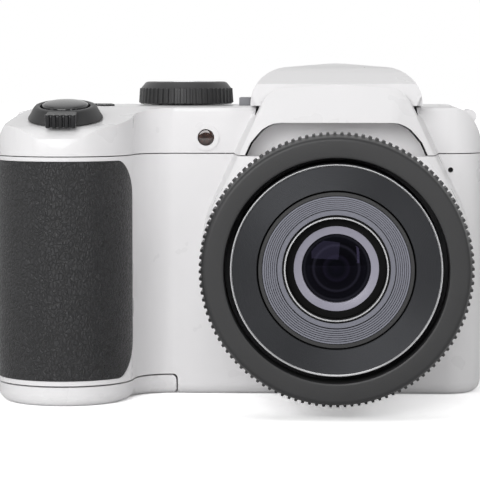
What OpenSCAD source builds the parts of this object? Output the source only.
// Bridge camera with a fixed zoom lens, pop-up flash and battery grip.
// Millimetres. X to the right seen from the front, -Y to the front, Z up.
// The origin is the mouth of the tripod socket, the lens axis lies in x = 0.

/* [Body] */
// Lens axis to the right side of the body
body_right = 36; // [35:0.5:40]
// Lens axis to the outer side of the grip
body_left = 82; // [81:0.5:86]
// Lens surround up to the top plate
top_rise = 4.6; // [4.4:0.1:6]
// Tripod axis forward to the front face
front_d = 20; // [19.5:0.5:21]
// Tripod axis back to the rear face
back_d = 19; // [18.5:0.5:21]
// Wall of the covers
wall = 2; // [1.8:0.1:2.2]
// Height of the top cover
cap_h = 11.5; // [11.2:0.1:12]
// Tripod axis back to the joint of front and rear covers
part_y = 7; // [6.8:0.1:7.6]
// Open seam between two covers
seam_gap = 0.24; // [0.2:0.02:0.3]
// Rounding of the lower edge
edge_r = 3; // [2.5:0.25:4]

/* [Grip] */
// Tripod axis forward to the nose of the grip
grip_d = 45; // [44:0.5:47]
// Radius of the nose
grip_r = 16.5; // [16:0.25:17]
// Hollow between the nose and the front face
crook_r = 9; // [8:0.5:9]
// Fall of the shoulder under the shutter button
shoulder_a = 11; // [9:0.5:12]
// Thickness of the rubber skin
skin_t = 1.05; // [0.9:0.05:1.1]
// How far the skin stands proud
skin_proud = 0.15; // [0.1:0.05:0.25]

/* [Lens] */
// Base up to the lowest rib of the lens ring
lens_low = 2.9; // [2.5:0.1:3.4]
// Tripod axis forward to the front of the lens ring
ring_front = 65; // [64:0.5:68]
// Outer barrel out to the rib tips of the lens ring
ring_wall = 7.1; // [6.7:0.1:7.6]
// Number of ribs round the lens ring
ring_ribs = 120; // [90:10:140]
// Radius of the outer zoom barrel
barrel_r = 24.4; // [24:0.1:24.5]
// Radius of the inner zoom barrel
inner_r = 17.9; // [17:0.1:18.2]
// Radius of the front glass
glass_r = 8; // [7:0.25:9]
// Travel of the outer barrel
zoom_1 = 18; // [12:1:22]
// Travel of the inner barrel
zoom_2 = 15; // [10:1:18]

/* [Flash] */
// Top plate up to the top of the flash cover
hump_h = 10.5; // [9.5:0.25:12]
// Half width of the flash cover
hump_half = 20.8; // [20.2:0.2:21.4]
// Tripod axis back to the hinge of the flash
flash_y = 9.5; // [9:0.25:10]

/* [Controls] */
// Radius of the mode dial
dial_r = 12; // [11:0.25:12.5]
// Height of the mode dial
dial_h = 5.6; // [4.5:0.1:6.5]
// Number of ribs on the mode dial
dial_ribs = 48; // [36:2:60]
// Radius of the zoom lever skirt
lever_r = 9; // [8.5:0.25:9.25]
// Radius of the shutter button
shutter_r = 5.6; // [5:0.1:5.7]
// Travel of the shutter button
shutter_stroke = 1.2; // [0.8:0.1:1.4]
// Travel of a small button
key_stroke = 0.5; // [0.4:0.05:0.6]
// Clearance round a small button
key_gap = 0.3; // [0.25:0.05:0.4]

/* [Battery door] */
// Height of the battery door skirt
door_h = 4.9; // [4.7:0.1:5.2]
// Length of the battery door along the body
door_l = 42.9; // [42.5:0.1:43.5]
// Open gap round the battery door
door_gap = 0.36; // [0.3:0.02:0.4]

/* [Tripod] */
// Core radius of the quarter inch tripod thread
tripod_r = 2.6; // [2.55:0.05:2.65]
// Depth of the tripod thread
tripod_depth = 5.5; // [4.5:0.5:5.5]

/* [Hidden] */
fine = 64;
coarse = 32;
white = [0.93, 0.93, 0.94];
black = [0.15, 0.15, 0.16];
dark = [0.23, 0.23, 0.25];
steel = [0.70, 0.71, 0.73];
glass = [0.10, 0.10, 0.13];
board = [0.10, 0.30, 0.20];
far = 150;

// lens surround from the barrel outward, and the heights that follow from it
ring_r = barrel_r + ring_wall;
cone_bore = ring_r - 2.5;
cone_r = cone_bore + 1.2;
boss_r = cone_r + 1.8;
boss_base = boss_r + 1.4;
lens_z = ring_r + lens_low;
cell_r = 7.25;
cell_l = 50.5;
cell_z = 6.4;
top_z = max(lens_z + boss_r + top_rise, cell_z + cell_l + 11.6);
seam_z = top_z - cap_h;
hump_top = top_z + hump_h;
door_x = body_left - door_l;

// grip: centre of the nose, and the hollow beside it
grip_x = -(body_left - grip_r);
nose_y = -(grip_d - grip_r);
grip_right = grip_x + grip_r;
crook = [grip_right + crook_r, -front_d - crook_r];
front_right_r = 9;
rear_right_r = 7;
rear_left_r = 9;
inner_x = body_right - wall;

// shoulder: a plane falling forward, rounded into the nose
shoulder_y = -(front_d - 2);
shoulder_r = 6;
shoulder_cy = -grip_d + shoulder_r;
function shoulder_z(y) = top_z + (y - shoulder_y) * tan(shoulder_a);
shoulder_cz = shoulder_z(shoulder_cy) - shoulder_r / cos(shoulder_a);

// rubber skin
skin_low = door_h + 1.4;
skin_high = seam_z - 1.2;
skin_back = 1;

// lens, measured forward of the tripod axis along the lens axis
cone_front = ring_front - 11.4;
boss_d = front_d + 16;
tube_r = barrel_r + 3.3 / 7.1 * ring_wall;
tube_bore = barrel_r + 2.1 / 7.1 * ring_wall;
cam_out = barrel_r + 1.8 / 7.1 * ring_wall;
cam_in = barrel_r + 0.35;
tube_back = front_d - 7;
cam_back = tube_back - 7;
barrel_front = ring_front - 1.6;
barrel_back = tube_back + 4;
plate_front = barrel_front - 0.6;
inner_front = barrel_front - 0.9;
inner_back = barrel_back + 19 - zoom_2;

// gear on the cam ring and its pinion
gear_teeth = 94;
gear_m = 2 * (tube_r + 0.5) / gear_teeth;
pinion_teeth = 12;
gear_pr = gear_m * gear_teeth / 2;
pinion_pr = gear_m * pinion_teeth / 2;
gear_centre = gear_pr + pinion_pr + 0.05;
pinion_a = 170;
gear_w = 3;
pinion_c = [gear_centre * cos(pinion_a), lens_z + gear_centre * sin(pinion_a)];

// hump and visor
visor_top = hump_top - 5.1;
visor_low = lens_z + boss_r + 1;
visor_y = -boss_d;
arch_w = boss_r - 9.4;
pocket_y = -front_d - 6;
panel_y = visor_y + 4.5;
lid_front = panel_y + 2.6;
lid_low = top_z + 0.3;
lid_wall = 1.6;
lid_corner = hump_h - 1.5;
flash_z = top_z + 3.5;
lid_tail = hump_h - 4.5;
well_floor = lens_z + boss_r - 1;

// mode dial
dial_x = -(hump_half + dial_r + 5.2);
dial_y = 2;
dial_low = top_z + 0.3;

// zoom lever and shutter button
lever_x = grip_x + 0.5;
lever_y = nose_y - 4.5;
lever_z = shoulder_z(lever_y);

// rear controls
key_x = -body_left + 25;
keys = [["record", -body_left + 37, 51, 3.4], ["menu", -body_left + 37, 39, 2.8],
        ["play", -body_left + 13.5, 38, 2.8], ["delete", -body_left + 37, 9.5, 2.8]];
pad_z = 23.5;
pad_r = 10.4;
set_r = 4.8;
flange = 0.8;
board_x = -body_left + 38;
screen_x0 = board_x + 10;
screen_x1 = body_right - 5;
screen_z0 = 7.5;
screen_z1 = seam_z - 3.5;
lens_board_y = back_d - 9.4;
key_board_y = back_d - wall - 2.6 - key_stroke;

// battery cells: four upright cells in the grip
sleeve_bore = 7.45;
sleeve_r = 8.2;
cells = [[grip_x + 0.2, nose_y - 4.9], [grip_x - 5.9, nose_y + 9.5],
         [grip_x + 9.1, nose_y + 11.9], [grip_x + 0.9, nose_y + 25.1]];

// battery door hinge
hinge_r = 1.6;
pin_r = 0.7;
hinge_x = -door_x - hinge_r;
ear_w = 3;
ears = [-14.5, part_y + 2.5];

// strap bars on the shoulders
left_rx = 10.5;
left_rz = 12.5;
right_rx = 8;
right_rz = 11;
bar_a = 48;
bar_y = 1;
bar_r = 0.9;
bar_l = 12;
function left_at(a) = [-body_left + left_rx - left_rx * cos(a), top_z - left_rz + left_rz * sin(a)];
function right_at(a) = [body_right - right_rx + right_rx * cos(a), top_z - right_rz + right_rz * sin(a)];
bars = [left_at(bar_a), right_at(bar_a)];

// port flap in the right side
flap_y0 = -front_d + 9.5;
flap_y1 = 0.5;
flap_z0 = lens_z - 26;
flap_z1 = lens_z - 4;
port_z = flap_z0 + 8;
flap_t = 1.3;
flap_hr = 0.65;
flap_ax = body_right - 0.7;
flap_ay = flap_y1 - 0.7;

screws = [[24, -8], [-24, -8], [24, 13], [-24, 13]];

// points of an arc
function arc(c, r, a0, a1, n) =
    [for (i = [0:n]) c + r * [cos(a0 + (a1 - a0) * i / n), sin(a0 + (a1 - a0) * i / n)]];
// points of a quarter of an ellipse
function oval(c, rx, rz, a0, a1, n) =
    [for (i = [0:n]) c + [rx * cos(a0 + (a1 - a0) * i / n), rz * sin(a0 + (a1 - a0) * i / n)]];

// a shape drawn in X and Z, carried through the depth of the body
module through_depth(y0, y1) {
    translate([0, y1, 0]) rotate([90, 0, 0]) linear_extrude(y1 - y0) children();
}
// a shape drawn in Y and Z, carried across the width
module across(x0, x1) {
    translate([x0, 0, 0]) rotate([90, 0, 90]) linear_extrude(x1 - x0) children();
}
// the frame of the lens: local z runs forward along the lens axis
module on_lens() {
    translate([0, 0, lens_z]) rotate([90, 0, 0]) children();
}
// a turned lens piece from points of radius and forward distance
module turned(points) {
    on_lens() rotate_extrude($fn = fine) polygon(points);
}
// the frame of the zoom lever on the falling shoulder
module on_shoulder() {
    translate([lever_x, lever_y, lever_z]) rotate([shoulder_a, 0, 0]) children();
}
// the frame of the rear face: local z runs backward out of the body
module on_back(x, z) {
    translate([x, back_d, z]) rotate([-90, 0, 0]) children();
}

// round corner of the body, its edges rounded above and below
module post(c, r, d) {
    low = max(edge_r - d, 0.6);
    high = max(1.2 - d, 0.2);
    translate([c[0], c[1], 0]) rotate_extrude($fn = fine)
        polygon(concat([[0, d]], arc([r - d - low, d + low], low, -90, 0, 6),
                       arc([r - d - high, top_z - d - high], high, 0, 90, 2), [[0, top_z - d]]));
}
module block(d) {
    hull() {
        post([body_right - front_right_r, -front_d + front_right_r], front_right_r, d);
        post([body_right - rear_right_r, back_d - rear_right_r], rear_right_r, d);
        post([-body_left + rear_left_r, back_d - rear_left_r], rear_left_r, d);
        post([grip_x, -front_d + 5], 5, d);
    }
}
module grip(d) {
    hull() {
        post([grip_x, nose_y], grip_r, d);
        post([-body_left + rear_left_r, back_d - rear_left_r], rear_left_r, d);
        post([grip_right - 5, 0], 5, d);
    }
}
// hollow blend between the nose and the front face
module crook_fill(d) {
    low = max(edge_r - d, 0.6);
    difference() {
        translate([grip_right - 6, crook[1], d]) cube([crook_r + 6, crook_r + 6, top_z - 2 * d]);
        translate([crook[0], crook[1], 0]) rotate_extrude($fn = fine)
            polygon(concat([[0, -1], [crook_r + d + low, -1]],
                           [for (i = [0:6]) [crook_r + d + low - low * sin(15 * i),
                                             d + low - low * cos(15 * i)]],
                           [[crook_r + d, top_z + 1], [0, top_z + 1]]));
    }
}
// front view of the body: big shoulders left and right
module front_shape(d) {
    polygon(concat([[-body_left + d, -1]],
        oval([-body_left + left_rx, top_z - left_rz], left_rx - d, left_rz - d, 180, 90, 10),
        oval([body_right - right_rx, top_z - right_rz], right_rx - d, right_rz - d, 90, 0, 10),
        [[body_right - d, -1]]));
}
// side view of the body: falling shoulder in front, rounded edge behind
module side_shape(d) {
    polygon(concat([[-grip_d + d, -1]],
        arc([shoulder_cy, shoulder_cz], shoulder_r - d, 180, 90 + shoulder_a, 8),
        [[shoulder_y + d * tan(shoulder_a / 2), top_z - d]],
        arc([back_d - 5, top_z - 5], 5 - d, 90, 0, 8),
        [[back_d - d, -1]]));
}
module body_form(d) {
    intersection() {
        union() {
            block(d);
            grip(d);
            crook_fill(d);
        }
        through_depth(-far, far) front_shape(d);
        across(-far, far) side_shape(d);
    }
}
// one slice of the lens surround and visor
module slice(y) {
    translate([0, y, 0]) rotate([90, 0, 0]) linear_extrude(0.05) children();
}
module boss_form(d) {
    hull() {
        slice(-front_d + 2) {
            translate([0, lens_z]) circle(boss_base - d, $fn = 96);
            translate([-hump_half + 0.2 + d, top_z - 8]) square([2 * hump_half - 0.4 - 2 * d, 6.5]);
        }
        slice(panel_y + d * 1.1) {
            translate([0, lens_z]) circle(boss_r + 0.4 - d, $fn = 96);
            for (s = [-1, 1]) translate([s * (hump_half - 8.7), visor_top - 6.9])
                circle(6.2 - d, $fn = coarse);
            translate([0, visor_top - 5]) circle(5 - d, $fn = coarse);
        }
        slice(visor_y + d * 1.1) {
            translate([0, lens_z]) circle(boss_r - d, $fn = 96);
            for (s = [-1, 1]) translate([s * (boss_r - 19.5), visor_low - 3]) circle(3 - d, $fn = coarse);
        }
    }
}
module shell() {
    difference() {
        union() {
            body_form(0);
            boss_form(0);
        }
        body_form(wall);
        boss_form(wall);
    }
}
// opening under the visor through which the lens comes out, g inside its edge
module arch(y0, y1, g) {
    half = [[0, seam_z - 4], [0, seam_z - 1.5], [2, visor_low - 4.9], [3.6, visor_low - 3],
            [4.8, visor_low - 1.7], [6.2, visor_low - 0.8], [7.7, visor_low - 0.2], [9.4, visor_low]];
    through_depth(y0, y1) polygon(concat([for (h = half) [h[0] - arch_w + g, h[1] - g]],
        [for (i = [7:-1:0]) [arch_w - half[i][0] - g, half[i][1] - g]]));
}
// outline of the battery door seen from the front, grown by g
module door_shape(g, low_r) {
    difference() {
        translate([-far, -5]) square([far - door_x + g, door_h + g + 5]);
        difference() {
            translate([-door_x + g - 1.2, door_h + g - 1.2]) square([2, 2]);
            translate([-door_x + g - 1.2, door_h + g - 1.2]) circle(1.2, $fn = coarse);
        }
        if (low_r > 0) difference() {
            translate([-door_x + g - low_r, -6]) square([low_r + 1, 6 + hinge_r]);
            translate([hinge_x, hinge_r]) circle(low_r, $fn = fine);
        }
    }
}
module skin_zone(g) {
    through_depth(-far, skin_back + g) polygon(concat(
        [[-far, skin_low - g]],
        oval([grip_right - 3, skin_low + 8], 2.7 + g, 8 + g, -90, 0, 8),
        oval([grip_right - 3, skin_high - 8], 2.7 + g, 8 + g, 0, 90, 8),
        [[-far, skin_high + g]]));
}
module skin_form(out, in, g) {
    difference() {
        intersection() {
            grip(out);
            skin_zone(g);
        }
        grip(in);
        translate([grip_x, nose_y - 0.3 + g, 0]) cube([far, far, far]);
    }
}
// small holes of the front cover
module front_holes() {
    on_lens() translate([0, 0, 4]) cylinder(r = cone_bore, h = ring_front, $fn = fine);
    translate([body_right - 8, -front_d - 1, seam_z - 4]) rotate([-90, 0, 0])
        cylinder(r = 0.65, h = wall + 4, $fn = coarse);
    translate([0, 0, -1]) cylinder(r = 6.1, h = wall + 2, $fn = fine);
    screw_holes();
    translate([body_right - 1.5, flap_y0 - 0.3, flap_z0 - 0.3])
        cube([3, flap_y1 - flap_y0 + 0.6, flap_z1 - flap_z0 + 0.6]);
    translate([body_right - wall - 1, flap_y0 + 1.5, flap_z0 + 2])
        cube([3, flap_y1 - flap_y0 - 4.5, flap_z1 - flap_z0 - 4]);
    translate([flap_ax, flap_ay, flap_z0 - 1.4])
        cylinder(r = 0.55, h = flap_z1 - flap_z0 + 2.8, $fn = coarse);
}
module screw_holes() {
    for (p = screws) translate([p[0], p[1], -1]) {
        cylinder(r = 1.9, h = 2, $fn = coarse);
        cylinder(r = 1, h = wall + 2, $fn = coarse);
    }
}
module door_ears() {
    for (y = ears) translate([hinge_x, y, hinge_r]) rotate([-90, 0, 0]) {
        cylinder(r = hinge_r - 0.2, h = ear_w, $fn = coarse);
        translate([0, -(hinge_r - 0.2), 0]) cube([hinge_r + 3, 2 * (hinge_r - 0.2), ear_w]);
    }
}
module pin_bore(r) {
    translate([hinge_x, ears[0] - 1, hinge_r]) rotate([-90, 0, 0])
        cylinder(r = r, h = ears[1] + ear_w + 1.5 - ears[0], $fn = coarse);
}

module front_cover() {
    color(white) difference() {
        union() {
            intersection() {
                shell();
                translate([-far, -far, -1])
                    cube([2 * far, far + part_y - seam_gap / 2, seam_z - seam_gap / 2 + 1]);
            }
            turned([[cone_bore, front_d + 3.4], [cone_bore, cone_front], [cone_r, cone_front],
                    [cone_r, boss_d - 0.6], [cone_r - 0.5, boss_d - 0.6], [cone_r - 0.5, front_d + 3.4]]);
            // back of the pocket under the visor
            intersection() {
                boss_form(0.8);
                arch(pocket_y, -front_d - 4 - seam_gap, 0.3);
            }
        }
        through_depth(-far, far) door_shape(door_gap / 2, 0);
        skin_form(-1, skin_t - skin_proud + 0.05, 0.12);
        front_holes();
    }
    color(white) difference() {
        intersection() {
            door_ears();
            translate([-far, -far, -1]) cube([2 * far, far + part_y - seam_gap / 2, far]);
        }
        pin_bore(pin_r + 0.02);
    }
}
module rear_cover() {
    color(white) difference() {
        union() {
            difference() {
                intersection() {
                    shell();
                    translate([-far, part_y + seam_gap / 2, -1])
                        cube([2 * far, far, seam_z - seam_gap / 2 + 1]);
                }
                through_depth(-far, far) door_shape(door_gap / 2, 0);
            }
            intersection() {
                door_ears();
                translate([-far, part_y + seam_gap / 2, -1]) cube([2 * far, far, far]);
            }
        }
        pin_bore(pin_r + 0.02);
        screw_holes();
        translate([screen_x0 - 0.1, back_d - 1.3, screen_z0 - 0.1])
            cube([screen_x1 - screen_x0 + 0.2, 3, screen_z1 - screen_z0 + 0.2]);
        translate([screen_x0 + 2, back_d - wall - 1, screen_z0 + 2])
            cube([screen_x1 - screen_x0 - 4, 5, screen_z1 - screen_z0 - 4]);
        for (k = keys) on_back(k[1], k[2]) translate([0, 0, -wall - 1])
            cylinder(r = k[3] + key_gap, h = 5, $fn = fine);
        on_back(key_x, pad_z) translate([0, 0, -wall - 1]) cylinder(r = pad_r + key_gap, h = 5, $fn = fine);
    }
}
module bar_frame(i) {
    s = i == 0 ? -1 : 1;
    translate([bars[i][0], bar_y, bars[i][1]]) rotate([0, s * 45, 0]) children();
}
module flash_ears() {
    for (s = [-1, 1]) translate([s * 16, 0, 0]) {
        across(-1, 1) polygon([[flash_y - 3.4, well_floor - 0.6], [flash_y - 0.6, well_floor - 0.6],
                               [flash_y - 0.6, flash_z], [flash_y - 2, flash_z]]);
        translate([-1, flash_y, flash_z]) rotate([0, 90, 0]) cylinder(r = 2.2, h = 2, $fn = coarse);
    }
}
module top_cover() {
    color(white) difference() {
        union() {
            difference() {
                intersection() {
                    shell();
                    translate([-far, -far, seam_z + seam_gap / 2]) cube([2 * far, 2 * far, far]);
                }
                arch(-far, -front_d - 4, 0);
                translate([-far, lid_front - 0.3, top_z]) cube([2 * far, far, far]);
                translate([-19.6, lid_front - 0.3, top_z - wall - 1])
                    cube([39.2, flash_y - lid_front, far]);
                translate([-hump_half - 0.4, flash_y - 7, top_z - wall - 1])
                    cube([2 * hump_half + 0.8, 7 + lid_tail + 0.4, far]);
            }
            // lining of the pocket under the visor
            intersection() {
                boss_form(1);
                difference() {
                    arch(-far, -front_d - 4.1, -1.5);
                    arch(-far, far, -0.1);
                }
                translate([-far, -far, visor_low - 4]) cube([2 * far, 2 * far, far]);
            }
            // well under the flash
            difference() {
                union() {
                    translate([-20.8, -front_d - 3, well_floor - 1])
                        cube([41.6, flash_y + front_d + 3, top_z - wall + 1.2 - well_floor]);
                    translate([-hump_half - 1.6, flash_y - 8.2, well_floor - 1])
                        cube([2 * hump_half + 3.2, lid_tail + 9.8, top_z - wall + 1.2 - well_floor]);
                }
                translate([-19.6, -far, well_floor]) cube([39.2, far + flash_y, 20]);
                translate([-hump_half - 0.4, flash_y - 7, well_floor])
                    cube([2 * hump_half + 0.8, 7 + lid_tail + 0.4, 20]);
            }
            flash_ears();
            // solid under the strap bars
            intersection() {
                body_form(0);
                for (i = [0, 1]) bar_frame(i) translate([-7, -7, -5]) cube([14, 14, 8]);
                translate([-far, -far, seam_z + seam_gap / 2]) cube([2 * far, 2 * far, far]);
            }
            // bosses that hold the ends of the strap bars
            for (i = [0, 1]) bar_frame(i) for (s = [-1, 1])
                translate([0, s * (bar_l / 2 - 1.1) - 1.3, 0.2]) rotate([-90, 0, 0])
                    cylinder(r = bar_r + 0.8, h = 2.6, $fn = coarse);
            // ring round the focus lamp
            translate([dial_x + 6.1, -front_d - 0.5, seam_z + 3.9]) rotate([-90, 0, 0])
                cylinder(r = 3.2, h = 2, $fn = fine);
        }
        for (s = [-1, 1]) translate([s * 16 - 2, flash_y, flash_z]) rotate([0, 90, 0])
            cylinder(r = 0.93, h = 4, $fn = coarse);
        // hollows and holes of the strap bars
        for (i = [0, 1]) bar_frame(i) {
            translate([-20, 0, 1.4]) rotate([0, 90, 0]) cylinder(r = 4.2, h = 40, $fn = coarse);
            translate([0, -bar_l / 2 - 0.05, 0.2]) rotate([-90, 0, 0])
                cylinder(r = bar_r + 0.05, h = bar_l + 0.1, $fn = coarse);
        }
        translate([dial_x + 6.1, -front_d - 1, seam_z + 3.9]) rotate([-90, 0, 0])
            cylinder(r = 2.05, h = 8, $fn = coarse);
        translate([dial_x, dial_y, top_z - 8]) cylinder(r = 2.05, h = 12, $fn = coarse);
        on_shoulder() translate([0, 0, -8]) cylinder(r = 4.9, h = 12, $fn = coarse);
        power_shape(key_gap, -wall - 1, 3);
        drive_shape(key_gap, -wall - 1, 3);
        flash_button_shape(key_gap, -wall - 1, 3);
        // sound holes in the top plate
        for (i = [0:4]) for (j = [0, 1]) translate([body_right - 10 + 2.4 * j, -8 + 3 * i, top_z - 4])
            cylinder(r = 0.6, h = 6, $fn = 16);
    }
}
module battery_door() {
    color(white) difference() {
        union() {
            intersection() {
                shell();
                through_depth(-far, far) door_shape(-door_gap / 2, hinge_r - 0.15);
            }
            translate([hinge_x, ears[0] + ear_w + 0.3, hinge_r]) rotate([-90, 0, 0])
                cylinder(r = hinge_r - 0.15, h = ears[1] - ears[0] - ear_w - 0.6, $fn = coarse);
        }
        pin_bore(pin_r + 0.1);
        for (y = ears) translate([hinge_x - hinge_r - 0.2, y - 0.3, -2]) cube([far, ear_w + 0.6, 10]);
        // slot of the latch
        latch_shape(0.3, -2, 4, 1.6);
    }
}
// latch outline on the underside of the door, with room to slide
module latch_shape(g, z0, z1, extra) {
    translate([grip_x - 3 - g - extra, -12 - g, z0]) cube([6 + 2 * g + 2 * extra, 12 + 2 * g, z1 - z0]);
}
module door_latch() {
    color(dark) difference() {
        union() {
            latch_shape(0, 0.4, 2.3, 0);
            translate([grip_x - 6.4, -14, wall + 0.3]) cube([12.8, 16, 1]);
        }
        for (i = [-2:2]) translate([grip_x + i * 1.1 - 0.25, -11, -0.2]) cube([0.5, 10, 0.9]);
    }
}
module door_pin() {
    color(steel) translate([hinge_x, ears[0] - 0.5, hinge_r]) rotate([-90, 0, 0])
        cylinder(r = pin_r, h = ears[1] + ear_w + 0.5 - ears[0], $fn = coarse);
}
module grip_skin() {
    color(black) skin_form(-skin_proud, skin_t - skin_proud, 0);
}
module thumb_rest() {
    color(black) hull() for (x = [-body_left + 14, -body_left + 27]) for (z = [49, seam_z - 5])
        on_back(x, z) {
            cylinder(r = 3, h = 0.9, $fn = coarse);
            cylinder(r = 2.2, h = 1.7, $fn = coarse);
        }
}
module case_screws() {
    color(steel) for (p = screws) translate([p[0], p[1], 0]) difference() {
        union() {
            translate([0, 0, 0.15]) cylinder(r = 1.7, h = 0.8, $fn = coarse);
            cylinder(r = 0.85, h = 4.4, $fn = coarse);
        }
        for (a = [0, 90]) rotate([0, 0, a]) translate([-1.1, -0.2, -1]) cube([2.2, 0.4, 1.6]);
    }
}
module tripod_socket() {
    color(steel) difference() {
        union() {
            cylinder(r = 6, h = wall - 0.2, $fn = fine);
            cylinder(r = 4.2, h = tripod_depth + 1, $fn = fine);
        }
        translate([0, 0, -1]) cylinder(r = tripod_r, h = tripod_depth + 1, $fn = fine);
    }
}
module strap_bars() {
    color(white) for (i = [0, 1]) bar_frame(i) translate([0, -bar_l / 2, 0.2]) rotate([-90, 0, 0])
        cylinder(r = bar_r, h = bar_l, $fn = coarse);
}

// frame that carries the lens unit and the boards
plate_y = -tube_back;
plate_x = hinge_x + hinge_r + 3.6;
post_d = (gear_pr + 4.3) * sin(45);
module chassis() {
    color(dark) difference() {
        union() {
            translate([plate_x, plate_y, wall + 0.15]) cube([body_right - 4 - plate_x, 2, lens_z + 22]);
            translate([plate_x + 1.5, plate_y, wall + 0.15])
                cube([body_right - 6.5 - plate_x, back_d - 4.5 - plate_y, 2.4]);
            for (s = [-1, 1]) for (t = [-1, 1]) on_lens() translate([post_d * s, post_d * t, -6.5])
                cylinder(r = 2.2, h = tube_back + 5.5, $fn = coarse);
            translate([-28, 6, wall + 1]) cube([56, 1.6, lens_z + 24]);
            // posts under the main board
            for (s = [-1, 1]) for (z = [14, 48]) translate([s * 25, 6, z]) rotate([-90, 0, 0])
                cylinder(r = 1.6, h = lens_board_y - 6, $fn = coarse);
            turned([[9.2, -6.5], [9.2, 5], [10.6, 5], [10.6, -6.5]]);
        }
        on_lens() translate([0, 0, cam_back + gear_w]) cylinder(r = cam_out + 0.5, h = 20, $fn = fine);
        translate([0, 0, 0]) cylinder(r = 4.35, h = 8, $fn = fine);
        for (p = screws) translate([p[0], p[1], 0]) cylinder(r = 0.88, h = 8, $fn = coarse);
    }
}
module battery_box() {
    color(dark) difference() {
        union() {
            for (c = cells) translate([c[0], c[1], door_h + 0.7])
                cylinder(r = sleeve_r, h = cell_l + 3.3, $fn = fine);
        }
        for (c = cells) translate([c[0], c[1], 0])
            cylinder(r = sleeve_bore, h = cell_z + cell_l + 0.9, $fn = fine);
    }
}
module battery_cells() {
    color([0.75, 0.55, 0.25]) for (c = cells) translate([c[0], c[1], cell_z]) {
        cylinder(r = cell_r, h = cell_l - 1.5, $fn = fine);
        cylinder(r = 2.75, h = cell_l, $fn = coarse);
    }
}
module battery_contacts() {
    color(steel) for (c = cells) translate([c[0], c[1], cell_z + cell_l + 0.05])
        cylinder(r = 4, h = 0.8, $fn = coarse);
}
module main_board() {
    color(board) {
        translate([board_x, lens_board_y, wall + 5]) cube([body_right - 5 - board_x, 1.2, lens_z + 16]);
        translate([-body_left + 6.5, key_board_y, 6.5]) cube([body_left - 0.5 + board_x, 1, seam_z - 9]);
        // plug between the two boards
        translate([board_x + 0.5, lens_board_y + 0.6, lens_z - 12])
            cube([4, key_board_y - lens_board_y, 16]);
    }
}
module card_socket() {
    color(steel) difference() {
        translate([-body_left + 13, key_board_y - 3, 7.5]) cube([25, 3, 27]);
        translate([-body_left + 13.5, key_board_y - 2.6, 6]) cube([24, 2.2, 25]);
    }
}
module usb_socket() {
    color(steel) difference() {
        translate([inner_x - 5.7, plate_y + 2.05, port_z]) cube([5.6, 8, 3]);
        translate([inner_x - 4.7, plate_y + 2.35, port_z + 0.4]) cube([6.5, 7.4, 2.2]);
    }
}
module port_flap() {
    color(white) {
        difference() {
            union() {
                translate([body_right - flap_t, flap_y0, flap_z0])
                    cube([flap_t, flap_ay - flap_y0, flap_z1 - flap_z0]);
                translate([flap_ax, flap_ay, flap_z0])
                    cylinder(r = flap_hr, h = flap_z1 - flap_z0, $fn = coarse);
            }
            translate([body_right - 0.6, flap_y0 - 1, port_z]) cube([2, 2.2, 6]);
        }
        translate([flap_ax, flap_ay, flap_z0 - 1])
            cylinder(r = 0.45, h = flap_z1 - flap_z0 + 2, $fn = coarse);
    }
}

// lens unit
module lens_tube() {
    color(dark) turned([[tube_bore, tube_back + 0.05], [tube_bore, cone_front + 3.4],
        [tube_r, cone_front + 3.4], [tube_r, tube_back + 2], [boss_r - 2.3, tube_back + 2],
        [boss_r - 2.3, tube_back + 0.05]]);
}
module lens_ring() {
    root = ring_r - 0.6;
    color(black) intersection() {
        union() {
            on_lens() translate([0, 0, cone_front + 0.1]) linear_extrude(ring_front) polygon(
                [for (i = [0:ring_ribs - 1]) for (k = [[-0.32, 0], [-0.16, 0.6], [0.16, 0.6], [0.32, 0]])
                    let (a = (i + k[0]) * 360 / ring_ribs) (root + k[1]) * [cos(a), sin(a)]]);
            turned([[0, cone_front - 4], [cone_bore - 0.1, cone_front - 4], [cone_bore - 0.1, ring_front],
                    [0, ring_front]]);
        }
        turned([[tube_r + 0.2, cone_front - 4], [cone_bore - 0.1, cone_front - 4],
                [cone_bore - 0.1, cone_front + 0.1], [ring_r - 0.9, cone_front + 0.1],
                [ring_r + 0.1, cone_front + 1.1], [ring_r + 0.1, ring_front - 2.3],
                [ring_r - 1.1, ring_front - 0.3], [ring_r - 1.4, ring_front],
                [barrel_r + 1.8, ring_front], [barrel_r + 1.3, ring_front - 0.7],
                [barrel_r + 1.3, cone_front + 3.8], [tube_r + 0.2, cone_front + 3.8]]);
    }
}
// half the angle of an involute tooth at radius r, in degrees
function roll(rb, r) = let (a = acos(min(1, rb / r))) tan(a) * 180 / PI - a;
function tooth_half(n, m, r, play) = let (pr = m * n / 2, rb = pr * cos(20))
    90 / n - play / pr * 90 / PI + roll(rb, pr) - roll(rb, max(r, rb));
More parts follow.
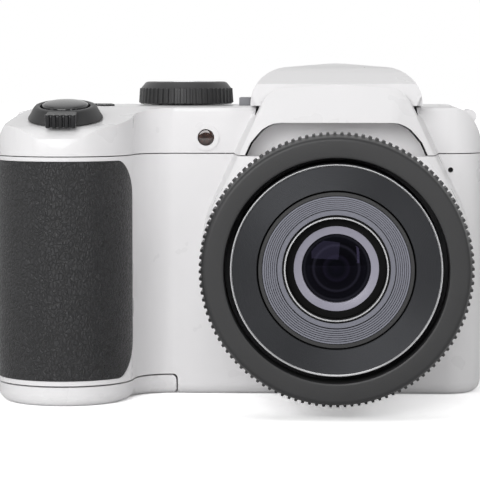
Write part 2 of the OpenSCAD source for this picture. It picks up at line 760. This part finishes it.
// one flank of tooth k from its root to its tip, side -1 or 1
function flank(n, m, k, play, side) = let (pr = m * n / 2, low = max(pr * cos(20), pr - 0.9 * m))
    [for (i = [-1:3]) let (r = low + (pr + 0.85 * m - low) * max(i, 0) / 3,
                           a = k * 360 / n + side * tooth_half(n, m, r, play))
        (i < 0 ? pr - 1.2 * m : r) * [cos(a), sin(a)]];
function tooth(n, m, k, play) = let (up = flank(n, m, k, play, -1), back = flank(n, m, k, play, 1))
    concat(up, [for (i = [4:-1:0]) back[i]]);
module cam_ring() {
    rim = gear_pr - 2 * gear_m;
    color(dark) difference() {
        union() {
            turned([[cam_in, cam_back], [cam_in, cone_front + 0.4], [cam_out, cone_front + 0.4],
                    [cam_out, cam_back + gear_w], [gear_pr - gear_m, cam_back + gear_w],
                    [gear_pr - gear_m, cam_back]]);
            // toothed part of the rim
            on_lens() translate([0, 0, cam_back]) rotate([0, 0, pinion_a]) linear_extrude(gear_w)
                polygon(concat([rim * [cos(8), sin(8)]],
                    [for (k = [2:-1:-27]) for (p = [9:-1:0]) tooth(gear_teeth, gear_m, k, 0.12)[p]],
                    [for (k = [-27:3:0]) rim * [cos(k * 360 / gear_teeth), sin(k * 360 / gear_teeth)]]));
        }
        on_lens() translate([0, 0, cam_back - 1]) cylinder(r = cam_in, h = 60, $fn = fine);
        // cam slots for the followers of the barrel
        for (a = [30, 150, 270]) on_lens() rotate([0, 0, a]) translate([cam_in - 1, -1.5, tube_back + 3])
            cube([4, 3, zoom_1 + 6]);
    }
}
module zoom_pinion() {
    color([0.8, 0.75, 0.55]) difference() {
        translate([pinion_c[0], 0, pinion_c[1]]) rotate([90, 0, 0]) translate([0, 0, cam_back - 0.5])
            rotate([0, 0, pinion_a + 180 - 180 / pinion_teeth]) linear_extrude(gear_w + 1)
            polygon([for (k = [0:pinion_teeth - 1]) for (p = [0:9])
                tooth(pinion_teeth, gear_m, k, 0.12)[p]]);
        translate([pinion_c[0], 0, pinion_c[1]]) rotate([90, 0, 0]) cylinder(r = 0.8, h = 60, $fn = coarse);
    }
}
module zoom_motor() {
    color(steel) translate([pinion_c[0], 0, pinion_c[1]]) rotate([90, 0, 0]) {
        translate([0, 0, -5.9]) cylinder(r = 5, h = 5.9 + cam_back - 1, $fn = fine);
        translate([0, 0, -5.9]) cylinder(r = 0.75, h = 5.9 + cam_back + gear_w + 1.2, $fn = coarse);
    }
}
module outer_barrel() {
    color(dark) turned([[barrel_r - 1.1, barrel_back], [barrel_r - 1.1, plate_front - 1.4],
        [inner_r + 0.35, plate_front - 1.4], [inner_r + 0.35, plate_front], [barrel_r - 0.6, plate_front],
        [barrel_r - 0.4, barrel_front], [barrel_r - 0.1, barrel_front], [barrel_r, barrel_front - 0.3],
        [barrel_r, barrel_back]]);
}
module inner_barrel() {
    color(black) turned([[inner_r - 1.2, inner_back], [inner_r - 1.2, inner_front - 8],
        [glass_r + 3.6, inner_front - 8], [glass_r + 3.6, inner_front - 2.2],
        [glass_r + 4.1, inner_front - 2.2], [glass_r + 4.3, inner_front - 4],
        [inner_r - 0.9, inner_front - 4], [inner_r - 0.9, inner_front], [inner_r, inner_front],
        [inner_r, inner_back + 2.5], [barrel_r - 1.4, inner_back + 2.5], [barrel_r - 1.4, inner_back]]);
}
// stepped ring that keeps stray light off the glass
baffle_steps = 7;
baffle_in = glass_r + 5.7;
module baffle_ring() {
    w = (inner_r - 1 - baffle_in) / baffle_steps;
    color([0.5, 0.5, 0.54]) turned(concat(
        [[glass_r + 4.5, inner_front - 3.9], [inner_r - 1, inner_front - 3.9]],
        [for (i = [0:baffle_steps - 1]) for (k = [0, 1])
            [inner_r - 1 - (i + k * 0.999) * w, inner_front - 0.2 - i * 0.36]],
        [[baffle_in, inner_front - 2.9], [glass_r + 4.5, inner_front - 2.9]]));
}
module lens_retainer() {
    color([0.55, 0.55, 0.6]) turned([[glass_r, inner_front - 6.2], [glass_r + 1.7, inner_front - 5],
        [glass_r + 3.5, inner_front - 5], [glass_r + 3.5, inner_front - 7.9],
        [glass_r, inner_front - 7.9]]);
}
module front_lens() {
    r = glass_r + 2.6;
    edge = glass_r - 0.05;
    color(glass) turned(concat([[0, inner_front - 12], [r, inner_front - 12], [r, inner_front - 8.05],
                                [edge, inner_front - 8.05]],
        [for (i = [0:8]) let (x = edge * (1 - i / 8))
            [x, inner_front - 7.6 + 1.7 * (1 - x * x / glass_r / glass_r)]]));
}
module rear_lens() {
    color(glass) turned([[0, -2], [9.1, -2], [9.1, 3], [6, 4.2], [0, 5]]);
}
module image_sensor() {
    color([0.3, 0.32, 0.4]) translate([-6, 4.3, lens_z - 5]) cube([12, 1.65, 10]);
}

// rear screen
module screen_window() {
    color(glass) translate([screen_x0, back_d - 1.25, screen_z0])
        cube([screen_x1 - screen_x0, 1.5, screen_z1 - screen_z0]);
}
module lcd_panel() {
    color([0.25, 0.27, 0.3]) translate([screen_x0 + 2.3, back_d - 4.4, screen_z0 + 2.3])
        cube([screen_x1 - screen_x0 - 4.6, 3.1, screen_z1 - screen_z0 - 4.6]);
}
module lamp_lens() {
    color([0.55, 0.3, 0.15]) translate([dial_x + 6.1, -front_d - 0.25, seam_z + 3.9]) rotate([-90, 0, 0])
        cylinder(r = 2, h = wall + 2, $fn = coarse);
}
module microphone() {
    color(black) translate([body_right - 8, -front_d + wall + 0.55, seam_z - 4]) rotate([-90, 0, 0])
        cylinder(r = 1.5, h = 1.5, $fn = coarse);
}

// pop-up flash
// side view of the flash cover, g inside its outer face
module lid_side(g) {
    r = flash_y - lid_front - g;
    polygon(concat([[lid_front + g, lid_low - 1]],
        [[lid_front + g, visor_top + 0.2 - g * 0.9]],
        [for (i = [1:8]) let (t = i / 8) [lid_front + g + (r - 17 + g) * t,
            visor_top + 0.2 - g * 0.9 + (hump_top - visor_top - 0.2 - g * 0.1) * sin(90 * t)]],
        [for (i = [1:6]) let (t = i / 6) [lid_front + r - 17 + 2 * g + (17 - 2 * g) * t,
            flash_z + lid_tail - g + (hump_top - flash_z - lid_tail) * cos(90 * t)]],
        arc([flash_y, flash_z], lid_tail - g, 90, -40, 12),
        [[flash_y + 3, lid_low - 1]]));
}
// cross section of the flash cover
module lid_front_shape(g) {
    hull() {
        for (s = [-1, 1]) translate([s * (hump_half - lid_corner), hump_top - 0.9 - lid_corner])
            circle(lid_corner - g, $fn = 48);
        translate([0, hump_top - 30]) intersection() {
            circle(30 - g, $fn = 192);
            translate([-9, 20]) square([18, 20]);
        }
        translate([-hump_half + g, lid_low - 2]) square([2 * (hump_half - g), 2]);
    }
}
module lid_form(g) {
    intersection() {
        through_depth(-far, far) lid_front_shape(g);
        across(-far, far) lid_side(g);
    }
}
module flash_cover() {
    color(white) difference() {
        union() {
            difference() {
                lid_form(0);
                lid_form(lid_wall);
                translate([-far, -far, lid_low - 20]) cube([2 * far, 2 * far, 20]);
                // finger notches at the front corners
                for (s = [-1, 1]) translate([s * (hump_half - 0.2), lid_front - 0.6, lid_low - 0.6])
                    rotate([0, s * 24, 0]) translate([-1.4, -1, -2]) cube([2.8, 3.6, 5]);
            }
            // hinge lugs
            for (s = [-1, 1]) intersection() {
                lid_form(lid_wall * 0.5);
                translate([s * 12 - 1.5, 0, 0]) difference() {
                    across(0, 3) {
                        translate([flash_y, flash_z]) circle(2.2, $fn = coarse);
                        translate([flash_y, flash_z - 1.6]) square([10, 3.2]);
                    }
                }
            }
        }
        translate([-15, flash_y, flash_z]) rotate([0, 90, 0]) cylinder(r = 1, h = 30, $fn = coarse);
    }
}
module flash_pin() {
    color(steel) translate([-17, flash_y, flash_z]) rotate([0, 90, 0])
        cylinder(r = 0.9, h = 34, $fn = coarse);
}
module flash_spring() {
    color(steel) for (i = [0:7]) translate([-5 + i * 1.3, flash_y, flash_z]) rotate([0, 90, 0])
        rotate_extrude($fn = coarse) translate([1.6, 0]) circle(0.6, $fn = 16);
}
// the lamp housing: its front face looks forward once the flash is up
lamp_y0 = lid_front + 2;
lamp_top = visor_top - 1.8;
lamp_low = well_floor + 1.6;
lamp_half = hump_half - 3.4;
module flash_frame() {
    color(dark) difference() {
        across(-lamp_half, lamp_half)
            polygon([[lamp_y0, lamp_top], [lamp_y0 + lamp_top - lamp_low, lamp_low],
                     [3, lamp_low], [3, lamp_top]]);
        lamp_frame() {
            translate([-14.1, -3.6, -1.15]) cube([28.2, 7.2, 4]);
            translate([-13.5, 0, -1.4]) rotate([0, 90, 0]) cylinder(r = 2.6, h = 27, $fn = coarse);
        }
    }
}
// the frame of the sloping lamp face: local z points out of the lamp
module lamp_frame() {
    translate([0, lamp_y0 + (lamp_top - lamp_low) / 2, (lamp_top + lamp_low) / 2])
        rotate([135, 0, 0]) children();
}
module flash_window() {
    color([0.85, 0.87, 0.9]) lamp_frame() translate([-14, -3.5, -1.1]) cube([28, 7, 1.1]);
}
module flash_tube() {
    color([0.8, 0.85, 0.9]) lamp_frame() translate([-13.4, 0, -2.3]) rotate([0, 90, 0])
        cylinder(r = 1, h = 26.8, $fn = coarse);
}
module flash_capacitor() {
    color([0.15, 0.15, 0.3]) translate([-gear_pr - 6, plate_y + 7.05, 6])
        cylinder(r = 5, h = 27, $fn = fine);
}
module flash_button_shape(g, z0, z1) {
    translate([-hump_half - 3.4 - g, -7.5 - g, top_z + z0]) cube([2.7 + 2 * g, 8 + 2 * g, z1 - z0]);
}
module flash_button() {
    color([0.5, 0.5, 0.52]) flash_button_shape(0, -wall + 0.1, 2);
}

// top controls
module dial_axle() {
    color(steel) translate([dial_x, dial_y, 0]) {
        translate([0, 0, top_z - wall - 2]) cylinder(r = 2, h = wall + 2 + dial_h - 1.5, $fn = coarse);
        translate([0, 0, top_z - wall - 2]) cylinder(r = 4, h = 1.9, $fn = coarse);
    }
}
module mode_dial() {
    color(black) translate([dial_x, dial_y, dial_low]) difference() {
        intersection() {
            linear_extrude(dial_h) polygon([for (i = [0:dial_ribs - 1])
                for (k = [[-0.3, 0], [-0.18, 0.35], [0.18, 0.35], [0.3, 0]])
                    let (a = (i + k[0]) * 360 / dial_ribs) (dial_r - 0.35 + k[1]) * [cos(a), sin(a)]]);
            rotate_extrude($fn = fine) polygon([[0, 0], [dial_r + 0.05, 0], [dial_r - 0.25, dial_h - 1.6],
                [dial_r - 1.6, dial_h - 0.3], [dial_r - 2.6, dial_h], [0, dial_h]]);
        }
        translate([0, 0, -1]) cylinder(r = 2.06, h = dial_h - 0.5, $fn = coarse);
        translate([0, 0, dial_h - 0.5]) cylinder(r = dial_r - 4.4, h = 2, $fn = fine);
    }
}
module dial_plate() {
    color(steel) translate([dial_x, dial_y, dial_low + dial_h - 0.48])
        cylinder(r = dial_r - 4.5, h = 0.6, $fn = fine);
}
lever_low = 0.3;
cap_low = lever_low + 1.1 + shutter_stroke;
module zoom_lever() {
    color(black) on_shoulder() difference() {
        union() {
            rotate_extrude($fn = fine) polygon([[shutter_r + 0.4, lever_low + 0.7], [shutter_r + 0.4, 3.2],
                [shutter_r + 0.9, 3.5], [lever_r - 1.7, 3.3], [lever_r - 0.1, lever_low + 0.4],
                [lever_r, lever_low], [3.7, lever_low], [3.7, lever_low + 0.7]]);
            rotate_extrude($fn = coarse) polygon([[3.7, -5], [4.6, -5], [4.6, lever_low + 0.5],
                [3.7, lever_low + 0.5]]);
            difference() {
                translate([-3.8, -12, lever_low]) cube([7.6, 5.4, 3.5]);
                for (i = [-1.5:1:1.5]) translate([i * 1.7, -12.1, -1]) cylinder(r = 0.55, h = 8, $fn = 16);
            }
        }
    }
}
module shutter_button() {
    color(dark) on_shoulder() rotate_extrude($fn = fine) polygon(concat(
        [[0, -4.5], [3.4, -4.5], [3.4, cap_low], [shutter_r, cap_low], [shutter_r, cap_low + 0.8],
         [shutter_r - 0.4, cap_low + 1.2]],
        [for (i = [1:4]) [(shutter_r - 0.4) * (1 - i / 4), cap_low + 1.2 + 0.6 * sin(22.5 * i)]]));
}
module power_shape(g, z0, z1) {
    translate([lever_x + 4.2, -6, top_z]) {
        for (s = [-1, 1]) translate([s * 2.6, 0, z0]) cylinder(r = 2.2 + g, h = z1 - z0, $fn = coarse);
        translate([-2.6, -2.2 - g, z0]) cube([5.2, 4.4 + 2 * g, z1 - z0]);
    }
}
module power_button() {
    color(dark) {
        power_shape(0, -wall + 0.1, 0.5);
        translate([lever_x + 1.6, -6, top_z]) cylinder(r = 1.6, h = 0.9, $fn = coarse);
    }
}
module drive_shape(g, z0, z1) {
    translate([lever_x + 8, -14.5, top_z + z0]) cylinder(r = 2.2 + g, h = z1 - z0, $fn = coarse);
}
module drive_button() {
    color(dark) drive_shape(0, -wall + 0.1, 0.5);
}

// rear buttons: a cap through the wall and a flange behind it
module rear_key(k, tint) {
    color(tint) on_back(k[1], k[2]) {
        translate([0, 0, -wall - 0.2 - flange]) cylinder(r = k[3], h = wall + 0.8 + flange, $fn = fine);
        translate([0, 0, -wall - 0.2 - flange]) cylinder(r = k[3] + 1, h = flange, $fn = fine);
    }
}
module record_button() { rear_key(keys[0], [0.75, 0.1, 0.1]); }
module menu_button() { rear_key(keys[1], dark); }
module play_button() { rear_key(keys[2], dark); }
module delete_button() { rear_key(keys[3], dark); }
module set_button() {
    color(dark) on_back(key_x, pad_z) translate([0, 0, -wall - 1])
        cylinder(r = set_r, h = wall + 1.7, $fn = fine);
}
module pad_key(a) {
    color(dark) on_back(key_x, pad_z) rotate([0, 0, a]) intersection() {
        union() {
            translate([0, 0, -wall - 1]) linear_extrude(wall + 1.6) difference() {
                circle(pad_r, $fn = fine);
                circle(set_r + 0.3, $fn = fine);
            }
            translate([0, 0, -wall - 1]) linear_extrude(0.8) difference() {
                circle(pad_r + 1, $fn = fine);
                circle(set_r + 0.3, $fn = fine);
            }
        }
        translate([0.25, 0, -10]) linear_extrude(20) polygon([[0, 0], [20, 19.8], [20, -19.8]]);
    }
}
module up_key() { pad_key(270); }
module down_key() { pad_key(90); }
module left_key() { pad_key(180); }
module right_key() { pad_key(0); }

front_cover();
rear_cover();
top_cover();
battery_door();
grip_skin();
thumb_rest();
case_screws();
chassis();
tripod_socket();
strap_bars();
battery_box();
battery_cells();
battery_contacts();
door_pin();
door_latch();
main_board();
card_socket();
usb_socket();
port_flap();
lens_tube();
lens_ring();
zoom_motor();
zoom_pinion();
cam_ring();
outer_barrel();
inner_barrel();
baffle_ring();
lens_retainer();
front_lens();
rear_lens();
image_sensor();
screen_window();
lcd_panel();
lamp_lens();
microphone();
flash_pin();
flash_spring();
flash_capacitor();
flash_cover();
flash_frame();
flash_window();
flash_tube();
flash_button();
dial_axle();
mode_dial();
dial_plate();
zoom_lever();
shutter_button();
power_button();
drive_button();
record_button();
menu_button();
play_button();
delete_button();
set_button();
up_key();
down_key();
left_key();
right_key();
